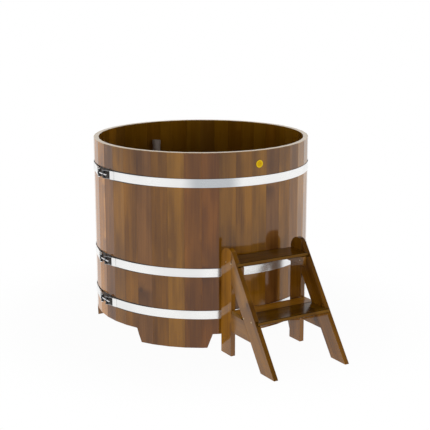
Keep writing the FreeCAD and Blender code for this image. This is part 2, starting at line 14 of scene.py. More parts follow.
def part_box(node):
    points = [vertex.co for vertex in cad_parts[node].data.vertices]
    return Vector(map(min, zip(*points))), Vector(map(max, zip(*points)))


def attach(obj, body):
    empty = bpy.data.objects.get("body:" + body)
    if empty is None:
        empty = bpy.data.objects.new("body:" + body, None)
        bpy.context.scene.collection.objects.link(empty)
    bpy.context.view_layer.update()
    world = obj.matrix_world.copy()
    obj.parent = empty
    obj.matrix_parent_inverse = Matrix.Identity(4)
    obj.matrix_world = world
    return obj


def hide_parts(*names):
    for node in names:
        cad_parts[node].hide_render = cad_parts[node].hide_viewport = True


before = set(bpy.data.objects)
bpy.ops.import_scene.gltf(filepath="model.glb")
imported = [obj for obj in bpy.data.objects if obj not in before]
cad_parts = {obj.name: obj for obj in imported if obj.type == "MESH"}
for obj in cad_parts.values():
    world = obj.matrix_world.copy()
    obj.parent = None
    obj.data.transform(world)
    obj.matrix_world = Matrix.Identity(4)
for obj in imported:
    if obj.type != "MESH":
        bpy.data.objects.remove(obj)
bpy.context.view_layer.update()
scene = bpy.context.scene


# Staves
# The wall is 42 boards of varnished hardwood with mitred edges, planed flat on the outside.
# Each comes from another plank, so the tone changes from board to board, and every arris is
# just broken so that the varnish holds on it.

STAVE_COUNT = 42
STAVE_EASE = 0.0009
TUB_HEIGHT = 1.15
WALL_INNER = 0.628155
WALL_MIDDLE = 0.645
HOOP_HEIGHTS = {"upper": 0.977, "middle": 0.453875, "lower": 0.202}
INSIDE_STEP = 0.001
MERGE_DISTANCE = 0.00002
FLAT_ANGLE = math.radians(0.6)
SHARP_ANGLE = math.radians(25)
SMOOTH_ANGLE = math.radians(42)
SHORT_EDGE = 0.006
UP = Vector((0, 0, 1))
ALONG_X = Vector((1, 0, 0))
ALONG_Y = Vector((0, 1, 0))

board_chance = random.Random(42)


def shader(tree, kind, sockets=(), **settings):
    """Adds a shader node. A socket gets a value, or a link where the value is an output."""
    new = tree.nodes.new("ShaderNode" + kind)
    for name, setting in settings.items():
        setattr(new, name, setting)
    for socket, value in dict(sockets).items():
        if isinstance(value, bpy.types.NodeSocket):
            tree.links.new(value, new.inputs[socket])
        else:
            new.inputs[socket].default_value = value
    return new


def arithmetic(tree, operation, *values):
    """One number from others, by a Math node."""
    return shader(tree, "Math", dict(enumerate(values)), operation=operation).outputs[0]


def faded(tree, value, low, high, start=0.0, end=1.0):
    """A number that runs smoothly from start to end as another goes from low to high."""
    sockets = {0: value, 1: low, 2: high, 3: start, 4: end}
    return shader(tree, "MapRange", sockets, interpolation_type="SMOOTHSTEP").outputs[0]


def blended(tree, factor, first, second, blend="MIX"):
    """Two colours mixed, multiplied or added."""
    sockets = {0: factor, 6: first, 7: second}
    return shader(tree, "Mix", sockets, data_type="RGBA", blend_type=blend).outputs[2]


def stretched(tree, vector, scale):
    """A pattern's coordinates, scaled by a different number on each axis."""
    return shader(tree, "VectorMath", {0: vector, 1: scale}, operation="MULTIPLY").outputs[0]


def noise(tree, vector, detail=2.0, roughness=0.5):
    """Cloudy noise from 0 to 1, about one cloud to each unit of its coordinates."""
    sockets = {"Vector": vector, "Scale": 1.0, "Detail": detail, "Roughness": roughness}
    return shader(tree, "TexNoise", sockets).outputs[0]


def group_of(name, inputs, outputs):
    """An empty shader node group. An input is a name with its kind and value."""
    group = bpy.data.node_groups.new(name, "ShaderNodeTree")
    for label, (kind, value) in inputs.items():
        socket = group.interface.new_socket(label, in_out="INPUT", socket_type="NodeSocket" + kind)
        if value is not None:
            socket.default_value = value
    for label, kind in outputs.items():
        group.interface.new_socket(label, in_out="OUTPUT", socket_type="NodeSocket" + kind)
    given = group.nodes.new("NodeGroupInput").outputs
    return group, given, group.nodes.new("NodeGroupOutput").inputs


# How far each pattern of the wood is squeezed across, through and along the board.
KNOT_CELLS = (4.0, 0.6, 1.7)
KNOT_SHAPE = (0.25, 0.0, 0.42)
RING_BEND = (5.0, 5.0, 0.9)
RING_SHAPE = (1.0, 1.0, 0.035)
BROAD_STREAKS = (22.0, 22.0, 1.1)
NARROW_STREAKS = (95.0, 95.0, 2.6)
FIBRES = (620.0, 620.0, 16.0)
CLOUDS = (10.0, 10.0, 2.2)
PLANING_SWAY = (7.0, 7.0, 1.6)

# What a streak, a ring and a fibre multiply the board's tone by, and the browns of the knots.
DARK_STREAK_TINT = (0.5, 0.44, 0.38, 1.0)
LIGHT_STREAK_TINT = (1.45, 1.55, 1.8, 1.0)
RING_TINT = (0.55, 0.46, 0.4, 1.0)
FIBRE_TINT = (0.5, 0.45, 0.42, 1.0)
HALO_BROWN = (0.07, 0.022, 0.004, 1.0)
KNOT_BROWN = (0.05, 0.018, 0.005, 1.0)


def wood_figure():
    """What the grain of a board shows: rings, streaks, fibres and knots over the board's tone."""
    group, given, result = group_of(
        "wood_figure",
        {
            "Grain": ("Vector", None), "Tone": ("Color", None), "Ring depth": ("Float", 0.3),
            "Streak depth": ("Float", 0.5), "Fibre depth": ("Float", 0.15),
            "Gloss": ("Float", 0.1), "Gloss change": ("Float", 0.05),
        },
        {"Colour": "Color", "Roughness": "Float", "Relief": "Float"})
    grain = given["Grain"]

    # Knots: a cell of the board keeps one only where chance says so.
    cells = stretched(group, grain, KNOT_CELLS)
    cell = shader(group, "TexVoronoi", {"Vector": cells, "Scale": 1.0, "Randomness": 0.8})
    to_knot = shader(
        group, "VectorMath", {0: cells, 1: cell.outputs["Position"]}, operation="SUBTRACT")
    knot_offset = stretched(group, to_knot.outputs[0], KNOT_SHAPE)
    from_knot = shader(group, "VectorMath", {0: knot_offset}, operation="LENGTH").outputs["Value"]
    chance = shader(group, "SeparateColor", {0: cell.outputs["Color"]}).outputs
    has_knot = arithmetic(group, "GREATER_THAN", chance[0], 0.52)
    knot_size = faded(group, chance[1], 0.0, 1.0, 0.004, 0.013)
    knot_edge = arithmetic(group, "DIVIDE", from_knot, knot_size)
    knot = arithmetic(group, "MULTIPLY", has_knot, faded(group, knot_edge, 1.25, 0.55))
    halo = arithmetic(group, "MULTIPLY", has_knot, faded(group, knot_edge, 4.0, 0.8))

    # The grain leans round a knot, so it looks pale on one side of it and dark on the other.
    flame = arithmetic(group, "MULTIPLY", has_knot, faded(group, knot_edge, 9.0, 1.5))
    past_knot = shader(group, "SeparateXYZ", {0: knot_offset}).outputs[2]
    pale_side = arithmetic(group, "MULTIPLY", flame, faded(group, past_knot, -0.004, 0.016))
    dark_side = arithmetic(group, "MULTIPLY", flame, faded(group, past_knot, 0.006, -0.014))

    # Growth rings round a pith that lies outside the board, pushed aside by the knots.
    bend = noise(group, stretched(group, grain, RING_BEND), 1.0)
    pushed = arithmetic(group, "MULTIPLY", halo, 0.006)
    shift = arithmetic(group, "MULTIPLY_ADD", bend, 0.022, pushed)
    sideways = shader(group, "CombineXYZ", {0: shift, 1: shift}).outputs[0]
    moved = shader(group, "VectorMath", {0: grain, 1: sideways}).outputs[0]
    rings = shader(
        group, "TexWave", {
            "Vector": stretched(group, moved, RING_SHAPE), "Scale": 62.0,
            "Distortion": 1.1, "Detail": 2.0, "Detail Scale": 0.6},
        wave_type="RINGS", rings_direction="Z", wave_profile="SAW").outputs[1]
    late_wood = arithmetic(group, "POWER", rings, 2.2)

    # Streaks along the board, in broad clouds, and the pores between its fibres.
    broad = noise(group, stretched(group, grain, BROAD_STREAKS), 3.0, 0.55)
    narrow = noise(group, stretched(group, grain, NARROW_STREAKS), 2.0, 0.6)
    drawn_out = faded(group, arithmetic(group, "MULTIPLY_ADD", narrow, 0.3, broad), 0.45, 0.85)
    cloud = faded(group, noise(group, stretched(group, grain, CLOUDS), 2.0, 0.5), 0.34, 0.68)
    streak = arithmetic(
        group, "MULTIPLY_ADD", cloud, 0.55, arithmetic(group, "MULTIPLY", drawn_out, 0.5))
    fibre = noise(group, stretched(group, grain, FIBRES), 2.0, 0.65)
    pores = faded(group, fibre, 0.52, 0.72)

    dark_streak = blended(group, 1.0, given["Tone"], DARK_STREAK_TINT, "MULTIPLY")
    light_streak = blended(group, 1.0, given["Tone"], LIGHT_STREAK_TINT, "MULTIPLY")
    streaked = blended(group, streak, dark_streak, light_streak)
    colour = blended(group, given["Streak depth"], given["Tone"], streaked)
    colour = blended(group, arithmetic(group, "MULTIPLY", pale_side, 0.75), colour, light_streak)
    colour = blended(group, arithmetic(group, "MULTIPLY", dark_side, 0.6), colour, dark_streak)
    ringed = blended(group, 1.0, colour, RING_TINT, "MULTIPLY")
    ring_share = arithmetic(group, "MULTIPLY", late_wood, given["Ring depth"])
    colour = blended(group, ring_share, colour, ringed)
    fibred = blended(group, 1.0, colour, FIBRE_TINT, "MULTIPLY")
    fibre_share = arithmetic(group, "MULTIPLY", pores, given["Fibre depth"])
    colour = blended(group, fibre_share, colour, fibred)
    colour = blended(group, arithmetic(group, "MULTIPLY", halo, 0.35), colour, HALO_BROWN)
    colour = blended(group, arithmetic(group, "MULTIPLY", knot, 0.6), colour, KNOT_BROWN)

    coarse = arithmetic(group, "ADD", pores, knot)
    less_gloss = arithmetic(group, "MULTIPLY", coarse, given["Gloss change"])
    ring_relief = arithmetic(group, "MULTIPLY", late_wood, -0.12)
    relief = arithmetic(group, "MULTIPLY_ADD", fibre, 0.25, ring_relief)
    sway = noise(group, stretched(group, grain, PLANING_SWAY), 1.0)
    group.links.new(colour, result["Colour"])
    group.links.new(arithmetic(group, "ADD", given["Gloss"], less_gloss), result["Roughness"])
    group.links.new(arithmetic(group, "MULTIPLY_ADD", sway, 4.0, relief), result["Relief"])
    return group


def new_finish(name):
    """A material, with its shader tree and the sockets of its surface."""
    material = bpy.data.materials.new(name)
    material.use_nodes = True
    return material, material.node_tree, material.node_tree.nodes["Principled BSDF"].inputs


def surface_from(tree, surface, drawn, relief):
    """Feeds a surface with a group's colour, roughness and relief, which is so many metres high."""
    height = {"Height": drawn.outputs["Relief"], "Distance": relief, "Strength": 1.0}
    tree.links.new(drawn.outputs["Colour"], surface["Base Color"])
    tree.links.new(drawn.outputs["Roughness"], surface["Roughness"])
    tree.links.new(shader(tree, "Bump", height).outputs[0], surface["Normal"])


def wooden(name, figure, relief=0.00006, specular=0.5, **depths):
    """A wood finish that reads the board's own grain and tone."""
    material, tree, surface = new_finish(name)
    grain = shader(tree, "Attribute", attribute_name="grain").outputs["Vector"]
    tone = shader(tree, "Attribute", attribute_name="tone").outputs["Color"]
    drawn = shader(tree, "Group", {"Grain": grain, "Tone": tone}, node_tree=figure)
    for depth, value in depths.items():
        drawn.inputs[depth.replace("_", " ").capitalize()].default_value = value
    surface_from(tree, surface, drawn, relief)
    surface["Specular IOR Level"].default_value = specular
    return material


def boards_of(node, board_at):
    """A closed bmesh for each board of a CAD node, its triangles merged into flat faces."""
    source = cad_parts[node].data
    owners = [board_at(face.center - face.normal * INSIDE_STEP) for face in source.polygons]
    boards = {}
    for key in sorted(set(owners)):
        board = bmesh.new()
        board.from_mesh(source)
        others = [face for face, owner in zip(board.faces, owners) if owner != key]
        bmesh.ops.delete(board, geom=others, context="FACES")
        bmesh.ops.remove_doubles(board, verts=board.verts, dist=MERGE_DISTANCE)
        bmesh.ops.dissolve_limit(
            board, angle_limit=FLAT_ANGLE, verts=board.verts, edges=board.edges)
        boards[key] = board
    return boards


def solid_of(node):
    """The closed bmesh of a CAD node that is a single solid."""
    return boards_of(node, lambda point: 0)[0]


def ease_arrises(solid, ease, segments=2, shortest=SHORT_EDGE, sharp=SHARP_ANGLE):
    """Rounds the sharp edges of a solid that are longer than the smallest features."""
    arrises = [
        edge for edge in solid.edges
        if edge.is_manifold and edge.calc_face_angle() > sharp and edge.calc_length() > shortest]
    bmesh.ops.bevel(
        solid, geom=arrises, offset=ease, offset_type="OFFSET", segments=segments, profile=0.5,
        affect="EDGES", clamp_overlap=False, material=-1)


def put_in_scene(name, solid, material, body, slot, *nodes):
    """Makes the piece of a bmesh, with what it is made of, moves with and stands for."""
    mesh = bpy.data.meshes.new(name)
    solid.to_mesh(mesh)
    solid.free()
    mesh.materials.append(material)
    mesh.polygons.foreach_set("use_smooth", [True] * len(mesh.polygons))
    mesh.set_sharp_from_angle(angle=SMOOTH_ANGLE)
    piece = bpy.data.objects.new(name, mesh)
    scene.collection.objects.link(piece)
    weighted = piece.modifiers.new("flat faces stay flat", "WEIGHTED_NORMAL")
    weighted.keep_sharp = True
    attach(piece, body)
    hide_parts(*nodes)
    return piece


def add_solid(whole, solid):
    """Puts a finished solid into the bmesh of the piece that it is part of."""
    passed = bpy.data.meshes.new("passed")
    solid.to_mesh(passed)
    solid.free()
    whole.from_mesh(passed)
    bpy.data.meshes.remove(passed)


def evenly(point):
    """The shade of a board that is alike all over."""
    return 1.0


# Where in the log a board was cut, seen from the pith, and how much lighter or darker it is.
PITH_ACROSS = 0.05
PITH_DEPTH = (0.04, 0.11)
LOG_LENGTH = 40
BOARD_LIGHT = (0.94, 1.06)


def lay_boards(name, boards, material, body, slot, node, shade_at=evenly):
    """One piece of several boards, each with its axes across, through and along it and its tone."""
    whole = bmesh.new()
    grain, tones = [], []
    for solid, axes, tone in boards:
        pith = (
            board_chance.uniform(-PITH_ACROSS, PITH_ACROSS),
            board_chance.choice((-1, 1)) * board_chance.uniform(*PITH_DEPTH),
            board_chance.uniform(0, LOG_LENGTH))
        light = board_chance.uniform(*BOARD_LIGHT)
        centre = sum((vertex.co for vertex in solid.verts), Vector()) / len(solid.verts)
        for vertex in solid.verts:
            grain += [axis.dot(vertex.co - centre) + start for axis, start in zip(axes, pith)]
            shade = light * shade_at(vertex.co)
            tones += [channel * shade for channel in tone] + [1.0]
        add_solid(whole, solid)
    attributes = put_in_scene(name, whole, material, body, slot, node).data.attributes
    attributes.new("grain", "FLOAT_VECTOR", "POINT").data.foreach_set("vector", grain)
    attributes.new("tone", "FLOAT_COLOR", "POINT").data.foreach_set("color", tones)


AMBER = (0.200, 0.074, 0.003)
OCHRE = (0.222, 0.086, 0.004)
PALE_OCHRE = (0.245, 0.102, 0.008)
RUSSET = (0.192, 0.062, 0.003)
DARK_RUSSET = (0.180, 0.056, 0.003)
UMBER = (0.168, 0.064, 0.012)
GOLD = (0.275, 0.112, 0.006)
# HONEY_LIT_EDGE is painted light: a paler tone for the staves on the tub's left side.
HONEY_LIT_EDGE = (0.350, 0.134, 0.012)
STAVE_TONES = [
    GOLD, UMBER, OCHRE, AMBER, GOLD, GOLD, OCHRE, AMBER, UMBER, OCHRE, PALE_OCHRE,
    AMBER, RUSSET, GOLD, AMBER, DARK_RUSSET, OCHRE, UMBER, PALE_OCHRE, AMBER, GOLD, RUSSET,
    AMBER, OCHRE, UMBER, HONEY_LIT_EDGE, AMBER, RUSSET, OCHRE, HONEY_LIT_EDGE, HONEY_LIT_EDGE, HONEY_LIT_EDGE, UMBER,
    OCHRE, AMBER, UMBER, AMBER, GOLD, RUSSET, DARK_RUSSET, OCHRE, OCHRE,
]
STAVE_GROUPS = [
    "arch_front", "arch_right", "arch_rear", "arch_left",
    "foot_front_left", "foot_front_right", "foot_rear_left", "foot_rear_right",
]
GAP_SHADOW_BLACK = (0.008, 0.006, 0.004, 1.0)
INSIDE_SHADED_BROWN = (0.145, 0.062, 0.0024, 1.0)
SAWN_TOP_LIT_PALE = (0.95, 0.62, 0.24, 1.0)
HOOP_SHADOW_REACH = 0.0258
CLAMP_SHADOW_REACH = 0.0315
CLAMP_SHADOW_SIDE = (-0.50, -0.62)
STEEL_SHADOW_FADE = (1.04, 0.93)
STEEL_SHADOW_DEPTH = 0.94
STEEL_SHADOW_ROUGHNESS = 0.45
SAWN_TOP_LIT_DEPTH = 0.92
ABOVE_HOOP_FADE = 0.01
ABOVE_HOOP_DARKNESS = 0.2
INSIDE_EVEN_SHARE = 0.55
INSIDE_SHADE = 0.8

figure = wood_figure()
tub_varnish = wooden(
    "tub_varnish", figure, ring_depth=0.26, streak_depth=0.85, fibre_depth=0.25, gloss=0.09,
    gloss_change=0.05)

# The tub's varnish knows where on the tub it is: how high, and whether outside or inside.
varnish = tub_varnish.node_tree
varnish_surface = varnish.nodes["Principled BSDF"].inputs
drawn_wood = varnish.nodes["Group"].outputs
stave_place = shader(
    varnish, "SeparateXYZ", {0: shader(varnish, "TexCoord").outputs["Object"]}).outputs
level_place = shader(varnish, "CombineXYZ", {0: stave_place[0], 1: stave_place[1]}).outputs[0]
from_axis = shader(varnish, "VectorMath", {0: level_place}, operation="LENGTH").outputs["Value"]
outside = arithmetic(varnish, "GREATER_THAN", from_axis, WALL_MIDDLE)

# Outside, under the steel, the wood is painted near-black as painted shadow in the gap behind the
# bands, most of all behind the clamps.
from_hoop = [
    arithmetic(varnish, "ABSOLUTE", arithmetic(varnish, "SUBTRACT", stave_place[2], z))
    for z in HOOP_HEIGHTS.values()]
nearest_hoop = arithmetic(
    varnish, "MINIMUM", arithmetic(varnish, "MINIMUM", *from_hoop[:2]), from_hoop[2])
shadow_reach = faded(
    varnish, stave_place[0], *CLAMP_SHADOW_SIDE, HOOP_SHADOW_REACH, CLAMP_SHADOW_REACH)
under_steel = faded(
    varnish, arithmetic(varnish, "DIVIDE", nearest_hoop, shadow_reach), *STEEL_SHADOW_FADE)
steel_shadow = arithmetic(varnish, "MULTIPLY", outside, under_steel)

# The inner face's colour is evened towards one dark brown, at the level of the painted
# shade inside the tub. Outside, above the upper hoop, the wood is darker, and the sawn top ends
# are painted pale, as painted light from the sky above them.
evening_share = arithmetic(varnish, "MULTIPLY_ADD", outside, -INSIDE_EVEN_SHARE, INSIDE_EVEN_SHARE)
evened_inside = blended(varnish, evening_share, drawn_wood["Colour"], INSIDE_SHADED_BROWN)
above_hoop_darkening = faded(
    varnish, stave_place[2], HOOP_HEIGHTS["upper"] - ABOVE_HOOP_FADE,
    HOOP_HEIGHTS["upper"] + ABOVE_HOOP_FADE, 0.0, ABOVE_HOOP_DARKNESS)
darkened_above_hoop = blended(
    varnish, arithmetic(varnish, "MULTIPLY", outside, above_hoop_darkening), evened_inside, (0.0, 0.0, 0.0, 1.0))
shadowed = blended(
    varnish, arithmetic(varnish, "MULTIPLY", steel_shadow, STEEL_SHADOW_DEPTH), darkened_above_hoop, GAP_SHADOW_BLACK)
# Painted light: the sawn top ends are painted pale for the sky light they face.
lit_sawn_top = faded(varnish, stave_place[2], TUB_HEIGHT - STAVE_EASE, TUB_HEIGHT - STAVE_EASE / 2)
finished = blended(
    varnish, arithmetic(varnish, "MULTIPLY", lit_sawn_top, SAWN_TOP_LIT_DEPTH), shadowed, SAWN_TOP_LIT_PALE)
dulled = arithmetic(varnish, "MULTIPLY", steel_shadow, STEEL_SHADOW_ROUGHNESS)
varnish.links.new(finished, varnish_surface["Base Color"])
varnish.links.new(
    arithmetic(varnish, "ADD", drawn_wood["Roughness"], dulled), varnish_surface["Roughness"])


def stave_at(point):
    """The number of the stave that holds a point, counted from the front towards the right."""
    turn = math.atan2(point.x, -point.y) / (2 * math.pi)
    return round(turn * STAVE_COUNT) % STAVE_COUNT


def painted_inner_shade(point):
    """A stave's shade: its inner face is painted darker, as painted shade inside the tub."""
    turn = 2 * math.pi * stave_at(point) / STAVE_COUNT
    depth = point.x * math.sin(turn) - point.y * math.cos(turn)
    return INSIDE_SHADE if depth < WALL_INNER + STAVE_EASE / 2 else 1.0


for group_name in STAVE_GROUPS:
    staves = []
    for number, stave in boards_of("staves_" + group_name, stave_at).items():
        ease_arrises(stave, STAVE_EASE, shortest=0.02)
        turn = 2 * math.pi * number / STAVE_COUNT
        outward = Vector((math.sin(turn), -math.cos(turn), 0))
        staves.append((stave, (UP.cross(outward), outward, UP), STAVE_TONES[number]))
    lay_boards(
        group_name + "_boards", staves, tub_varnish, "tub", "tub_wood", "staves_" + group_name,
        painted_inner_shade)


# Floor
# Twelve boards lie in a groove inside the staves, on three battens that are screwed up into
# them from below. The wood is the staves' wood with a thinner, duller coat, dark from water.

FLOOR_RADIUS = 0.639855
FLOOR_BOARD_COUNT = 12
FLOOR_EASE = 0.0012
BATTEN_EASE = 0.0024
LONG_ARRIS = 0.03
FLOOR_TONES = [(0.150, 0.062, 0.012), (0.132, 0.052, 0.009), (0.165, 0.074, 0.016)]

floor_finish = wooden(
    "floor_finish", figure, relief=0.00012, specular=0.4,
    ring_depth=0.4, streak_depth=0.6, fibre_depth=0.35, gloss=0.32, gloss_change=0.12)


def floor_board_at(point):
    """The number of the floor board that holds a point, counted from the left."""
    return math.floor((point.x + FLOOR_RADIUS) / (2 * FLOOR_RADIUS / FLOOR_BOARD_COUNT))


floor_boards = []
for number, board in boards_of("floor_boards", floor_board_at).items():
    ease_arrises(board, FLOOR_EASE, shortest=LONG_ARRIS)
    tone = FLOOR_TONES[number % len(FLOOR_TONES)]
    floor_boards.append((board, (ALONG_X, UP, ALONG_Y), tone))
lay_boards("tub_floor_boards", floor_boards, floor_finish, "tub", "floor_wood", "floor_boards")
for row, tone in zip(("front", "middle", "rear"), FLOOR_TONES):
    batten = solid_of("floor_batten_" + row)
    ease_arrises(batten, BATTEN_EASE, shortest=LONG_ARRIS)
    lay_boards(
        row + "_batten", [(batten, (ALONG_Y, UP, ALONG_X), tone)], floor_finish, "tub",
        "floor_wood", "floor_batten_" + row)


# Hoops
# Flat stainless bands pull the staves together. Each is rolled to the wall, leaves it in a
# straight run at either end, and was brushed along its length before it was bent.

HOOP_MIDDLE = 0.66145
HOOP_THICKNESS = 0.0025
HOOP_WIDTH = 0.05
HOOP_EASE = 0.0006
HOOP_STEPS = 180
PIN_DISTANCE = 0.679
PIN_HALF_SPACING = 0.030
BAND_END = 0.055
BRUSH_LINES = (2.5, 2.5, 1400.0)
WIPED_CLOUDS = (3.2, 3.2, 2.0)
WIPED_TINT = (0.9, 0.9, 0.91, 1.0)
SCRATCH_TINT = (0.45, 0.45, 0.45, 1.0)
STEEL_TONE = (0.93, 0.93, 0.92, 1.0)
REFLECTION_PATCH_GREY = (0.50, 0.52, 0.54, 1.0)
REFLECTION_PATCH_PLACE = Vector((-0.273, -0.602, 0.977))
REFLECTION_PATCH_FADE = (0.19, 0.085)


def brushed_steel():
    """Fine scratches that run level round the tub, with cloudy patches where it was wiped."""
    group, given, result = group_of(
        "brushed_steel",
        {
            "Position": ("Vector", None), "Scratches": ("Float", 1.0), "Polish": ("Float", 0.2),
            "Tone": ("Color", (0.8, 0.8, 0.8, 1.0)),
        },
        {"Colour": "Color", "Roughness": "Float", "Relief": "Float"})
    place = given["Position"]
    lines = noise(group, stretched(group, place, BRUSH_LINES), 2.0, 0.7)
    cloud = noise(group, stretched(group, place, WIPED_CLOUDS), 1.0, 0.5)
    wiped = faded(group, cloud, 0.45, 0.7)
    scratched = arithmetic(group, "MULTIPLY", lines, given["Scratches"])
    grey = blended(group, 1.0, given["Tone"], WIPED_TINT, "MULTIPLY")
    colour = blended(group, arithmetic(group, "MULTIPLY", wiped, 0.7), given["Tone"], grey)
    scratch_share = arithmetic(group, "MULTIPLY", scratched, 0.18)
    colour = blended(group, scratch_share, colour, SCRATCH_TINT, "MULTIPLY")
    rough = arithmetic(group, "MULTIPLY_ADD", wiped, 0.09, given["Polish"])
    group.links.new(colour, result["Colour"])
    group.links.new(arithmetic(group, "MULTIPLY_ADD", scratched, 0.08, rough), result["Roughness"])
    group.links.new(scratched, result["Relief"])
    return group


def metallic(name, finish, relief, **values):
    """A metal finish from a group that reads the piece's place."""
    material, tree, surface = new_finish(name)
    place = shader(tree, "TexCoord").outputs["Object"]
    drawn = shader(tree, "Group", {"Position": place}, node_tree=finish)
    for label, value in values.items():
        drawn.inputs[label.capitalize()].default_value = value
    surface_from(tree, surface, drawn, relief)
    surface["Metallic"].default_value = 1.0
    return material


steel_figure = brushed_steel()
hoop_steel = metallic(
    "hoop_steel", steel_figure, 0.000004, scratches=1.0, polish=0.22, tone=STEEL_TONE)

# The upper hoop has one grey patch painted into its colour, a painted reflection.
steel_tree = hoop_steel.node_tree
steel_place = steel_tree.nodes["Texture Coordinate"].outputs["Object"]
from_reflection_patch = shader(
    steel_tree, "VectorMath", {0: steel_place, 1: REFLECTION_PATCH_PLACE}, operation="DISTANCE")
reflection_patch = faded(steel_tree, from_reflection_patch.outputs["Value"], *REFLECTION_PATCH_FADE)
with_reflection_patch = blended(
    steel_tree, reflection_patch, steel_tree.nodes["Group"].outputs["Colour"], REFLECTION_PATCH_GREY)
steel_tree.links.new(with_reflection_patch, steel_tree.nodes["Principled BSDF"].inputs["Base Color"])


def at_clamp(along, out, z):
    """A point at the clamps on the tub's left: along the bolt to the front, out from the axis."""
    return Vector((-out, -along, z))


reach = math.hypot(PIN_HALF_SPACING, PIN_DISTANCE)
leave_angle = math.atan2(PIN_HALF_SPACING, PIN_DISTANCE) + math.acos(HOOP_MIDDLE / reach)
straight_run = math.sqrt(reach ** 2 - HOOP_MIDDLE ** 2) - BAND_END


def hoop_band(z):
    """A rolled band: its section spun round the tub, then drawn out straight at both ends."""
    band = bmesh.new()
    outward = at_clamp(math.sin(leave_angle), math.cos(leave_angle), 0)
    corners = []
    for side, up in ((-1, -1), (1, -1), (1, 1), (-1, 1)):
        radius = HOOP_MIDDLE + side * HOOP_THICKNESS / 2
        corners.append(band.verts.new(outward * radius + UP * (z + up * HOOP_WIDTH / 2)))
    section = band.faces.new(corners)
    bmesh.ops.spin(
        band, geom=[section], cent=(0, 0, 0), axis=UP, angle=2 * math.pi - 2 * leave_angle,
        steps=HOOP_STEPS, use_duplicate=False)
    for side in (1, -1):
        toward_pin = at_clamp(-side * math.cos(leave_angle), math.sin(leave_angle), 0)
        end_direction = at_clamp(side * math.sin(leave_angle), math.cos(leave_angle), 0)
        end_middle = UP * z + end_direction * HOOP_MIDDLE
        end_faces = [
            face for face in band.faces
            if abs(face.normal.z) < 0.5 and face.calc_area() < HOOP_WIDTH * HOOP_THICKNESS * 1.1
            and (face.calc_center_median() - end_middle).length < HOOP_THICKNESS]
        drawn = bmesh.ops.extrude_face_region(band, geom=end_faces)
        moved = [item for item in drawn["geom"] if isinstance(item, bmesh.types.BMVert)]
        bmesh.ops.translate(band, verts=moved, vec=toward_pin * straight_run)
        bmesh.ops.delete(band, geom=end_faces, context="FACES")
    bmesh.ops.remove_doubles(band, verts=band.verts, dist=MERGE_DISTANCE)
    bmesh.ops.recalc_face_normals(band, faces=band.faces)
    ease_arrises(band, HOOP_EASE, shortest=HOOP_THICKNESS / 2, sharp=math.radians(60))
    return band


for level, z in HOOP_HEIGHTS.items():
    put_in_scene(
        level + "_band", hoop_band(z), hoop_steel, "tub", "hoop_steel", level + "_hoop_band")


# Clamps
# Where a hoop's ends meet, each is welded flat into a strap folded round a cross pin. A long
# bolt runs through both pins: its head bears on the rear one and its thread pulls the front one.
# The pins are near-black, and the front straps are painted darker from the weld as far as their
# windows go, as painted shade.

BOLT_RADIUS = 0.005
BOLT_CHAMFER = 0.0008
BOLT_SEGMENTS = 24
THREAD_ROOT = 0.0042
THREAD_PITCH = 0.0015
THREAD_STEPS = 16
THREAD_RUNOUT = 0.003
SHANK_END = 0.010
BOLT_TIP = -0.063
HEAD_SEAT = 0.037
HEAD_HEIGHT = 0.0064
HEAD_FLATS = 0.017
HEAD_EASE = 0.0007
WASHER_BORE = 0.00525
WASHER_RADIUS = 0.010
WASHER_FACE = 0.035
WASHER_SEGMENTS = 32
WASHER_EASE = 0.0003
STRAP_EASE = 0.0005
PIN_EASE = 0.0006
STRAP_SHADE_TONE = (0.34, 0.345, 0.35, 1.0)
STRAP_SHADE_START = (-0.0865, -0.0840)
STRAP_SHADE_END = (-0.001, 0.001)

fastener_steel = metallic(
    "fastener_steel", steel_figure, 0.000002, scratches=0.35, polish=0.2,
    tone=(0.82, 0.82, 0.83, 1.0))
black_steel = metallic(
    "black_steel", steel_figure, 0.000002, scratches=0.35, polish=0.26,
    tone=(0.045, 0.047, 0.05, 1.0))
strap_steel = metallic("strap_steel", steel_figure, 0.000004, scratches=1.0, polish=0.22)
strap_tree = strap_steel.node_tree
strap_place = strap_tree.nodes["Texture Coordinate"].outputs["Object"]
along_strap = shader(strap_tree, "SeparateXYZ", {0: strap_place}).outputs[1]
strap_shade = arithmetic(
    strap_tree, "MULTIPLY", faded(strap_tree, along_strap, *STRAP_SHADE_START),
    faded(strap_tree, along_strap, *STRAP_SHADE_END, 1.0, 0.0))
strap_tone = blended(strap_tree, strap_shade, STEEL_TONE, STRAP_SHADE_TONE)
strap_tree.links.new(strap_tone, strap_tree.nodes["Group"].inputs["Tone"])


def eased_copy(node, ease, shortest, sharp):
    """A CAD node's own shape, with its sharp edges broken."""
    solid = solid_of(node)
    ease_arrises(solid, ease, segments=1, shortest=shortest, sharp=sharp)
    return solid


def turned(profile, segments, centre, axis=UP):
    """A shape from a lathe: a closed outline of radius and height, spun round an axis."""
    side = axis.orthogonal().normalized()
    solid = bmesh.new()
    outline = [
        solid.verts.new(centre + side * radius + axis * height) for radius, height in profile]
    edges = [solid.edges.new((outline[i - 1], outline[i])) for i in range(len(outline))]
    bmesh.ops.spin(
        solid, geom=outline + edges, cent=centre, axis=axis, angle=2 * math.pi, steps=segments,
        use_merge=True)
    bmesh.ops.remove_doubles(solid, verts=solid.verts, dist=MERGE_DISTANCE)
    bmesh.ops.recalc_face_normals(solid, faces=solid.faces)
    return solid


def wind_thread(solid, ridge, start, side, axis, pitch, turns, steps_in_turn):
    """Winds a ridge, given as radius and height, round an axis, as a screw thread."""
    corners = [solid.verts.new(start + side * radius + axis * along) for radius, along in ridge]
    section = solid.faces.new(corners)
    steps = round(turns * steps_in_turn)
    bmesh.ops.spin(
        solid, geom=[section], cent=start, axis=axis, dvec=axis * pitch / steps_in_turn,
        angle=2 * math.pi * steps / steps_in_turn, steps=steps)


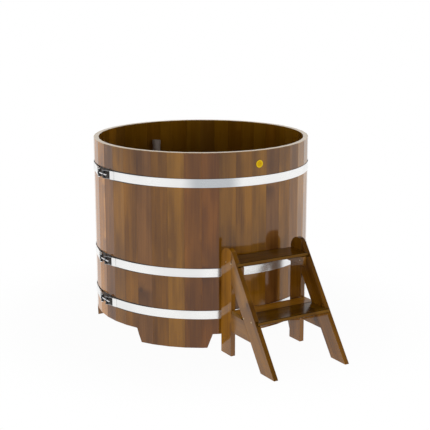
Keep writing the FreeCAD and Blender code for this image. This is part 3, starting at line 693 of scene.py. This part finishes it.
def clamp_bolt(z):
    """A hexagon bolt: chamfered head, plain shank, and a thread wound on to the tip."""
    axis = -ALONG_Y
    centre = Vector((-PIN_DISTANCE, 0, z))
    bolt = turned(
        [(0, -HEAD_SEAT), (BOLT_RADIUS, -HEAD_SEAT), (BOLT_RADIUS, -SHANK_END),
         (THREAD_ROOT, -SHANK_END + BOLT_CHAMFER), (THREAD_ROOT, -BOLT_TIP - BOLT_CHAMFER),
         (THREAD_ROOT - BOLT_CHAMFER, -BOLT_TIP), (0, -BOLT_TIP)],
        BOLT_SEGMENTS, centre, axis)
    place = Matrix.Translation(centre + ALONG_Y * (HEAD_SEAT + HEAD_HEIGHT / 2))
    laid = Matrix.Rotation(math.radians(90), 4, "X")
    flat_side_down = Matrix.Rotation(math.radians(30), 4, "Z")
    head = bmesh.ops.create_cone(
        bolt, cap_ends=True, segments=6, radius1=HEAD_FLATS / math.sqrt(3),
        radius2=HEAD_FLATS / math.sqrt(3), depth=HEAD_HEIGHT,
        matrix=place @ laid @ flat_side_down)
    corners = dict.fromkeys(edge for vertex in head["verts"] for edge in vertex.link_edges)
    bmesh.ops.bevel(
        bolt, geom=list(corners), offset=HEAD_EASE, offset_type="OFFSET", segments=1, profile=0.5,
        affect="EDGES", clamp_overlap=False, material=-1)
    sunk = THREAD_ROOT * 0.96
    wind_thread(
        bolt, [(sunk, 0), (BOLT_RADIUS, THREAD_PITCH / 2), (sunk, THREAD_PITCH)],
        centre + axis * (-SHANK_END), UP, axis, THREAD_PITCH,
        (SHANK_END - BOLT_TIP - THREAD_RUNOUT) / THREAD_PITCH, THREAD_STEPS)
    return bolt


for level, z in HOOP_HEIGHTS.items():
    for side in ("front", "rear"):
        lug = f"{level}_hoop_{side}_lug"
        strap = eased_copy(lug, STRAP_EASE, shortest=0.002, sharp=math.radians(50))
        put_in_scene(f"{level}_{side}_strap", strap, strap_steel, "tub", "hoop_steel", lug)
    for kind in ("tapped", "plain"):
        node = f"{level}_hoop_{kind}_pin"
        pin = eased_copy(node, PIN_EASE, shortest=0.0, sharp=math.radians(80))
        put_in_scene(f"{level}_{kind}_cross_pin", pin, black_steel, "tub", "steel_fastener", node)
    washer = turned(
        [(WASHER_BORE, WASHER_FACE), (WASHER_RADIUS, WASHER_FACE), (WASHER_RADIUS, HEAD_SEAT),
         (WASHER_BORE, HEAD_SEAT)],
        WASHER_SEGMENTS, Vector((-PIN_DISTANCE, 0, z)), ALONG_Y)
    ease_arrises(washer, WASHER_EASE, segments=1, shortest=0)
    put_in_scene(
        level + "_round_washer", washer, fastener_steel, "tub", "steel_fastener",
        level + "_hoop_washer")
    put_in_scene(
        level + "_clamp_bolt", clamp_bolt(z), fastener_steel, level + "_bolt", "steel_fastener",
        level + "_hoop_bolt")


# Badge
# A turned brass disc, fixed on the front stave below the tub's rim: a raised edge round a field
# that is dished a little and left plain.

BADGE_CENTRE = Vector((0, -0.658155, 1.072))
BADGE_PROFILE = [
    (0, 0), (0.0222, 0), (0.0225, 0.0004), (0.0225, 0.0022), (0.0218, 0.0029), (0.0205, 0.0030),
    (0.0196, 0.0027), (0.0192, 0.0022), (0.0150, 0.0020), (0.0080, 0.0021), (0, 0.0022),
]
BADGE_FIELD = (0.0195, 0.012)
BADGE_BLOTCHES = (160.0, 160.0, 160.0)
BADGE_SEGMENTS = 64


def turned_brass():
    """Rings left by the lathe tool, and the tarnish that gathers in the dished field."""
    group, given, result = group_of(
        "turned_brass",
        {
            "Position": ("Vector", None), "Tone": ("Color", (0.8, 0.5, 0.1, 1.0)),
            "Polish": ("Float", 0.3),
        },
        {"Colour": "Color", "Roughness": "Float", "Relief": "Float"})
    place = given["Position"]
    rings = shader(
        group, "TexWave", {"Vector": place, "Scale": 900.0, "Distortion": 0.6, "Detail": 1.0},
        wave_type="RINGS", rings_direction="Y").outputs[1]
    flat = stretched(group, place, (1.0, 0.0, 1.0))
    radius = shader(group, "VectorMath", {0: flat}, operation="LENGTH").outputs["Value"]
    blotch = faded(group, noise(group, stretched(group, place, BADGE_BLOTCHES), 3.0), 0.4, 0.65)
    tarnish = arithmetic(
        group, "MULTIPLY", faded(group, radius, *BADGE_FIELD),
        arithmetic(group, "MULTIPLY_ADD", blotch, 0.35, 0.5))
    brown = blended(group, 1.0, given["Tone"], (0.62, 0.5, 0.3, 1.0), "MULTIPLY")
    rough = arithmetic(group, "MULTIPLY_ADD", tarnish, 0.15, given["Polish"])
    group.links.new(blended(group, tarnish, given["Tone"], brown), result["Colour"])
    group.links.new(rough, result["Roughness"])
    group.links.new(rings, result["Relief"])
    return group


badge_brass = metallic(
    "badge_brass", turned_brass(), 0.00001, tone=(0.74, 0.50, 0.014, 1.0), polish=0.34)
badge_tree = badge_brass.node_tree
badge_place = badge_tree.nodes["Texture Coordinate"].outputs["Object"]
centred = shader(badge_tree, "Mapping", {"Vector": badge_place, "Location": -BADGE_CENTRE})
badge_tree.links.new(centred.outputs[0], badge_tree.nodes["Group"].inputs["Position"])
badge_disc = turned(BADGE_PROFILE, BADGE_SEGMENTS, BADGE_CENTRE, -ALONG_Y)
put_in_scene("badge_disc", badge_disc, badge_brass, "tub", "badge_brass", "badge")


# Drain
# A moulded waste fitting goes down through the floor near the rear wall: a flange let flush
# into the boards, a coarse thread, a rubber ring and a lock nut below, and a spigot for hose.

DRAIN_AXIS = Vector((0, 0.588155, 0))
DRAIN_BORE = 0.017
DRAIN_TAIL = 0.0225
DRAIN_PROFILE = [
    (DRAIN_BORE, 0.085), (0.0192, 0.085), (0.020, 0.0865), (0.020, 0.130), (DRAIN_TAIL, 0.130),
    (DRAIN_TAIL, 0.184), (0.036, 0.184), (0.036, 0.190), (DRAIN_BORE, 0.190),
]
DRAIN_RIDGE = [(0.0220, 0), (0.0239, 0.0011), (0.0239, 0.0017), (0.0220, 0.0028)]
DRAIN_THREAD_START = 0.131
DRAIN_THREAD_TURNS = 17
DRAIN_THREAD_STEPS = 32
DRAIN_PITCH = 0.003
DRAIN_EASE = 0.0006
SEAL_EASE = 0.0005
NUT_FLATS = 0.060
NUT_BORE = 0.02395
NUT_FOOT = 0.137
NUT_HEIGHT = 0.012
NUT_EASE = 0.0012
SEAL_PROFILE = [(0.0242, 0.149), (0.036, 0.149), (0.036, 0.152), (0.0242, 0.152)]
PEBBLES = (1800.0, 1800.0, 1800.0)
GRIME_CLOUDS = (24.0, 24.0, 9.0)
GRIME_TINT = (0.72, 0.68, 0.6, 1.0)


def moulded(name, tone, rough, grime):
    """Moulded plastic or rubber: a fine even pebble, and a film of grime that makes it duller."""
    material, tree, surface = new_finish(name)
    place = shader(tree, "TexCoord").outputs["Object"]
    pebble = noise(tree, stretched(tree, place, PEBBLES), 1.0)
    film = faded(tree, noise(tree, stretched(tree, place, GRIME_CLOUDS), 4.0, 0.6), 0.38, 0.7)
    dirty = blended(tree, 1.0, (*tone, 1.0), GRIME_TINT, "MULTIPLY")
    colour = blended(tree, arithmetic(tree, "MULTIPLY", film, grime), (*tone, 1.0), dirty)
    bump = shader(tree, "Bump", {"Height": pebble, "Distance": 0.00002, "Strength": 1.0})
    tree.links.new(colour, surface["Base Color"])
    tree.links.new(arithmetic(tree, "MULTIPLY_ADD", film, 0.15, rough), surface["Roughness"])
    tree.links.new(bump.outputs[0], surface["Normal"])
    return material


drain_plastic = moulded("drain_plastic", (0.035, 0.036, 0.04), 0.38, 0.5)
seal_rubber = moulded("seal_rubber", (0.014, 0.014, 0.015), 0.62, 0.3)


def moulding(profile, ease, segments=48):
    """A round moulding on the drain's axis, with its edges eased."""
    solid = turned(profile, segments, DRAIN_AXIS)
    ease_arrises(solid, ease, shortest=0, sharp=math.radians(50))
    return solid


drain_body = moulding(DRAIN_PROFILE, DRAIN_EASE)
wind_thread(
    drain_body, DRAIN_RIDGE, DRAIN_AXIS + UP * DRAIN_THREAD_START, ALONG_X, UP, DRAIN_PITCH,
    DRAIN_THREAD_TURNS, DRAIN_THREAD_STEPS)
put_in_scene("waste_fitting", drain_body, drain_plastic, "tub", "drain_plastic", "drain_body")

lock_nut = bmesh.new()
for segments, radius in ((6, NUT_FLATS / math.sqrt(3)), (48, NUT_BORE)):
    bmesh.ops.create_circle(
        lock_nut, segments=segments, radius=radius,
        matrix=Matrix.Translation(DRAIN_AXIS + UP * NUT_FOOT))
bmesh.ops.triangle_fill(lock_nut, edges=lock_nut.edges, use_beauty=True)
extruded = bmesh.ops.extrude_face_region(lock_nut, geom=lock_nut.faces[:])["geom"]
nut_top = [item for item in extruded if isinstance(item, bmesh.types.BMVert)]
bmesh.ops.translate(lock_nut, verts=nut_top, vec=UP * NUT_HEIGHT)
bmesh.ops.recalc_face_normals(lock_nut, faces=lock_nut.faces)
ease_arrises(lock_nut, NUT_EASE, shortest=0.005)
put_in_scene("waste_lock_nut", lock_nut, drain_plastic, "tub", "drain_plastic", "drain_locknut")

floor_seal = moulding(SEAL_PROFILE, SEAL_EASE)
put_in_scene("waste_seal", floor_seal, seal_rubber, "tub", "seal_rubber", "drain_seal")


# Standpipe
# The overflow pipe stands in the drain and sets the water's height: a pushed-in plug with a
# rubber ring under its collar, a length of warm grey pipe, and a collar round the open top.

PIPE_RADIUS = 0.025
PIPE_BORE = 0.0221
PIPE_FOOT = 0.202
PIPE_TOP = 1.030
PIPE_EASE = 0.0004
PIPE_SEGMENTS = 64
PLUG_BORE = 0.01192
PLUG_RADIUS = 0.01692
COLLAR_BORE = 0.02505
COLLAR_RADIUS = 0.02755
PIPE_PARTS = {
    "plug": [
        (PLUG_BORE, 0.155), (0.0162, 0.155), (PLUG_RADIUS, 0.158), (PLUG_RADIUS, 0.192),
        (PIPE_RADIUS, 0.192), (PIPE_RADIUS, PIPE_FOOT), (0.02205, PIPE_FOOT), (0.02205, 0.232),
        (PLUG_BORE, 0.232)],
    "tube": [
        (PIPE_BORE, PIPE_FOOT), (PIPE_RADIUS, PIPE_FOOT), (PIPE_RADIUS, PIPE_TOP),
        (PIPE_BORE, PIPE_TOP)],
    "collar": [
        (COLLAR_BORE, 1.008), (COLLAR_RADIUS, 1.008), (COLLAR_RADIUS, 1.033), (PIPE_BORE, 1.033),
        (PIPE_BORE, PIPE_TOP), (COLLAR_BORE, PIPE_TOP)],
}
PLUG_SEAL_PROFILE = [
    (0.01712, 0.190), (PIPE_RADIUS, 0.190), (PIPE_RADIUS, 0.192), (0.01712, 0.192)]

pipe_plastic = moulded("pipe_plastic", (0.345, 0.285, 0.250), 0.34, 0.55)
for part, profile in PIPE_PARTS.items():
    put_in_scene(
        "overflow_" + part, moulding(profile, PIPE_EASE, PIPE_SEGMENTS), pipe_plastic, "standpipe",
        "pipe_plastic", "standpipe_" + part)
plug_seal = moulding(PLUG_SEAL_PROFILE, PIPE_EASE)
put_in_scene("overflow_seal", plug_seal, seal_rubber, "standpipe", "seal_rubber", "standpipe_seal")


# Step ladder
# Two side frames of planed boards carry an upper tread and a lower tread of two boards, let into
# the legs and held by cleats. The wood is the tub's under a thick gloss varnish. The treads were
# rubbed down, so they shine less. Their ends are darker, from end grain taking more stain and from
# painted shade; their fronts carry painted shade and their nosings a painted highlight.

LEG_SLANT = math.radians(35.2)
LADDER_EASE = 0.0016
SLANT = Vector((0, math.sin(LEG_SLANT), math.cos(LEG_SLANT)))
ACROSS_SLANT = Vector((0, math.cos(LEG_SLANT), -math.sin(LEG_SLANT)))
LADDER_BROWN = (0.205, 0.080, 0.003)
LADDER_TAN = (0.222, 0.090, 0.004)
LADDER_RED = (0.190, 0.072, 0.002)
LADDER_DEEP = (0.180, 0.069, 0.003)
LADDER_DARK = (0.200, 0.082, 0.001)
LADDER_PALE_BROWN = (0.258, 0.101, 0.003)
# LADDER_LIT_PALE is painted light: the lower back board is painted far paler, against the shade it
# lies in under the upper tread.
LADDER_LIT_PALE = (0.600, 0.260, 0.018)
FOOT_SHADE = 1.4
TREAD_END_SHADE = 0.26
TREAD_FRONT_SHADE = 0.78
NOSING_HIGHLIGHT_SHADE = 4.0
NOSING = 0.004
NOSING_SEGMENTS = 4
UPRIGHT = (ALONG_Y, ALONG_X, UP)
SLANTED = (ACROSS_SLANT, ALONG_X, SLANT)
LEVEL = (UP, ALONG_X, ALONG_Y)
TREAD = (ALONG_Y, UP, ALONG_X)
LADDER_BOARDS = {
    "left_rear_leg": (UPRIGHT, LADDER_PALE_BROWN), "left_front_leg": (SLANTED, LADDER_BROWN),
    "left_brace": (LEVEL, LADDER_BROWN), "left_upper_cleat": (LEVEL, LADDER_RED),
    "left_lower_cleat": (LEVEL, LADDER_RED),
    "right_rear_leg": (UPRIGHT, LADDER_DEEP), "right_front_leg": (SLANTED, LADDER_DEEP),
    "right_brace": (LEVEL, LADDER_TAN), "right_upper_cleat": (LEVEL, LADDER_BROWN),
    "right_lower_cleat": (LEVEL, LADDER_RED),
    "upper_tread": (TREAD, LADDER_DARK), "lower_back_board": (TREAD, LADDER_LIT_PALE),
    "lower_front_board": (TREAD, LADDER_DARK),
}

ladder_varnish = wooden(
    "ladder_varnish", figure, ring_depth=0.4, streak_depth=0.85, fibre_depth=0.3, gloss=0.07,
    gloss_change=0.05)
tread_varnish = wooden(
    "tread_varnish", figure, specular=0.12, ring_depth=0.38, streak_depth=0.6, fibre_depth=0.3,
    gloss=0.14, gloss_change=0.08)


def painted_light_to_the_foot(point):
    """Right legs' shade: painted light from the floor at the feet, painted shade towards the tops.
    """
    return FOOT_SHADE - point.z


def round_nosing(board, low):
    """Rounds the two long front edges of a tread more than its other arrises."""
    front_edges = []
    for edge in board.edges:
        at_front = all(vertex.co.y < low[1] + INSIDE_STEP for vertex in edge.verts)
        direction = (edge.verts[0].co - edge.verts[1].co).normalized()
        runs_across = abs(direction.x) > math.cos(SHARP_ANGLE)
        if edge.calc_length() > SHORT_EDGE and at_front and runs_across:
            front_edges.append(edge)
    bmesh.ops.bevel(
        board, geom=front_edges, offset=NOSING, offset_type="OFFSET", segments=NOSING_SEGMENTS,
        profile=0.5, affect="EDGES", clamp_overlap=False, material=-1)


def tread_shade(low, high):
    """Tread shade: darker ends, painted shade on the front, painted highlight on both nosings."""
    middle = (low[2] + high[2]) / 2
    to_nosing = (high[2] - low[2] - NOSING) / 2

    def shade_at(point):
        """The shade at one point of the tread."""
        if not low[0] + LADDER_EASE / 2 < point.x < high[0] - LADDER_EASE / 2:
            return TREAD_END_SHADE
        if point.y > low[1] + NOSING * 0.9:
            return 1.0
        return NOSING_HIGHLIGHT_SHADE if abs(point.z - middle) > to_nosing else TREAD_FRONT_SHADE

    return shade_at


for board_name, (axes, tone) in LADDER_BOARDS.items():
    node = "ladder_" + board_name
    board = solid_of(node)
    finish = ladder_varnish
    shade = painted_light_to_the_foot if tone is LADDER_DEEP else evenly
    if axes is TREAD:
        low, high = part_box(node)
        round_nosing(board, low)
        finish = tread_varnish
        shade = tread_shade(low, high)
    ease_arrises(board, LADDER_EASE)
    lay_boards(
        board_name + "_board", [(board, axes, tone)], finish, "ladder", "ladder_wood", node, shade)


# Screws
# Countersunk steel screws with a straw-yellow zinc finish and a small round socket hold the
# ladder's boards and, from below, the tub's floor. Each lies in its own hole, with its head flush.

SCREW_RADIUS = 0.0022
SCREW_HEAD = 0.0045
SCREW_CONE = 0.003
SCREW_TIP = 0.004
SCREW_SEGMENTS = 12
SOCKET_RADIUS = 0.0017
SOCKET_DEPTH = 0.0016


def shells_of(solid):
    """The corners of each separate shell in a bmesh, in the order of their first corners."""
    left = set(solid.verts)
    while left:
        shell, newest = set(), {min(left, key=lambda vertex: vertex.index)}
        while newest:
            shell |= newest
            around = {edge.other_vert(vertex) for vertex in newest for edge in vertex.link_edges}
            newest = around - shell
        left -= shell
        yield [vertex.co.copy() for vertex in sorted(shell, key=lambda vertex: vertex.index)]


def screws_of(node):
    """A screw with its socket for each one of the CAD node, on that one's own axis."""
    cad = bmesh.new()
    cad.from_mesh(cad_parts[node].data)
    bmesh.ops.remove_doubles(cad, verts=cad.verts, dist=MERGE_DISTANCE)
    screws = bmesh.new()
    for shell in shells_of(cad):
        low = Vector([min(corner[i] for corner in shell) for i in range(3)])
        high = Vector([max(corner[i] for corner in shell) for i in range(3)])
        middle = (low + high) / 2
        length = max(high - low)
        way = list(high - low).index(length)
        axis = Vector([1.0 if i == way else 0.0 for i in range(3)])
        offsets = [corner - middle for corner in shell]
        radii = [round((offset - axis * axis.dot(offset)).length, 5) for offset in offsets]
        widest = offsets[radii.index(max(radii))]
        if axis.dot(widest) > 0:
            axis = -axis
        profile = [
            (0, SOCKET_DEPTH), (SOCKET_RADIUS, SOCKET_DEPTH), (SOCKET_RADIUS, 0), (SCREW_HEAD, 0),
            (SCREW_RADIUS, SCREW_CONE), (SCREW_RADIUS, length - SCREW_TIP), (0, length)]
        add_solid(screws, turned(profile, SCREW_SEGMENTS, middle - axis * length / 2, axis))
    cad.free()
    return screws


yellow_zinc = metallic(
    "yellow_zinc", steel_figure, 0.000002, scratches=0.35, polish=0.3,
    tone=(0.66, 0.52, 0.30, 1.0))
put_in_scene(
    "ladder_frame_screws", screws_of("ladder_screws"), yellow_zinc, "ladder", "steel_fastener",
    "ladder_screws")
put_in_scene(
    "floor_batten_screws", screws_of("floor_screws"), yellow_zinc, "tub", "steel_fastener",
    "floor_screws")


# Room
# A pale, lit floor under a white surround with a dark ceiling, a soft box at the tub's own
# height on either side, a little behind it, and a camera above eye level a few steps away.

FLOOR_SIZE = 14.0
FLOOR_SEGMENTS = 96
FLOOR_GLOW = 0.7
FLOOR_FADE = (0.8, 1.7)
WHITE = (1, 1, 1, 1)
CAMERA_PLACE = Vector((-3.2873, -5.6394, 2.181))
CAMERA_TARGET = Vector((0.0743, -0.0447, 0.640))
CAMERA_LENS = 89.34
SOFTBOX_WIDTH = 2.4
SOFTBOX_HEIGHT = 1.2
SOFTBOX_TARGET = Vector((0, 0, 0.5))
SOFTBOXES = {
    "left_softbox": ((-3.5, 4.3, 0.75), 130.0),
    "right_softbox": ((5.5, 0.1, 0.75), 60.0),
}


def shown_to_eye(tree):
    """1 for what is seen directly, in a gloss or through something clear, else 0."""
    ray = shader(tree, "LightPath").outputs
    seen = arithmetic(tree, "MAXIMUM", ray["Is Camera Ray"], ray["Is Glossy Ray"])
    return arithmetic(tree, "MAXIMUM", seen, ray["Is Transmission Ray"])


world = bpy.data.worlds.new("studio")
scene.world = world
world.use_nodes = True
sky = world.node_tree
sky_direction = shader(sky, "TexCoord").outputs["Generated"]
sky_height = shader(sky, "SeparateXYZ", {0: sky_direction}).outputs[2]
direct_view = shader(sky, "LightPath").outputs["Is Camera Ray"]
mirrored = faded(sky, sky_height, 0.42, 0.62, 1.0, 0.08)
seen_sky = shader(sky, "Mix", {0: direct_view, 2: mirrored, 3: 1.0}, data_type="FLOAT").outputs[0]
ambient = faded(sky, sky_height, 0.05, 0.62, 1.75, 0.12)
brightness = {0: shown_to_eye(sky), 2: ambient, 3: seen_sky}
sky_strength = shader(sky, "Mix", brightness, data_type="FLOAT").outputs[0]
sky.links.new(sky_strength, sky.nodes["Background"].inputs["Strength"])
sky.nodes["Background"].inputs["Color"].default_value = WHITE

ground = bmesh.new()
bmesh.ops.create_circle(ground, cap_ends=True, segments=FLOOR_SEGMENTS, radius=FLOOR_SIZE)
ground_mesh = bpy.data.meshes.new("studio_floor")
ground.to_mesh(ground_mesh)
ground.free()
studio_floor = bpy.data.objects.new("studio_floor", ground_mesh)
scene.collection.objects.link(studio_floor)
pale_floor, floor_tree, paint = new_finish("pale_floor")
paint["Base Color"].default_value = (0.86, 0.86, 0.86, 1)
paint["Roughness"].default_value = 0.9
paint["Specular IOR Level"].default_value = 0.1
white = shader(floor_tree, "Emission", {"Color": WHITE, "Strength": 1.0}).outputs[0]
floor_place = shader(floor_tree, "TexCoord").outputs["Object"]
from_tub = shader(floor_tree, "VectorMath", {0: floor_place}, operation="LENGTH").outputs["Value"]
far = faded(floor_tree, from_tub, *FLOOR_FADE, 0.965, 1.0)
glow = arithmetic(floor_tree, "MAXIMUM", shown_to_eye(floor_tree), FLOOR_GLOW)
cover = shader(floor_tree, "MixShader", {
    0: arithmetic(floor_tree, "MULTIPLY", far, glow),
    1: floor_tree.nodes["Principled BSDF"].outputs[0], 2: white})
floor_tree.links.new(cover.outputs[0], floor_tree.nodes["Material Output"].inputs["Surface"])
ground_mesh.materials.append(pale_floor)

for lamp_name, (place, power) in SOFTBOXES.items():
    lamp = bpy.data.lights.new(lamp_name, "AREA")
    lamp.shape = "RECTANGLE"
    lamp.size = SOFTBOX_WIDTH
    lamp.size_y = SOFTBOX_HEIGHT
    lamp.energy = power
    softbox = bpy.data.objects.new(lamp_name, lamp)
    softbox.location = place
    aim = SOFTBOX_TARGET - Vector(place)
    softbox.rotation_euler = aim.to_track_quat("-Z", "Y").to_euler()
    softbox.visible_glossy = False
    scene.collection.objects.link(softbox)

camera = bpy.data.cameras.new("camera")
camera.lens = CAMERA_LENS
camera_stand = bpy.data.objects.new("camera", camera)
camera_stand.location = CAMERA_PLACE
camera_stand.rotation_euler = (CAMERA_TARGET - CAMERA_PLACE).to_track_quat("-Z", "Y").to_euler()
scene.collection.objects.link(camera_stand)
scene.camera = camera_stand
scene.view_settings.view_transform = "Standard"
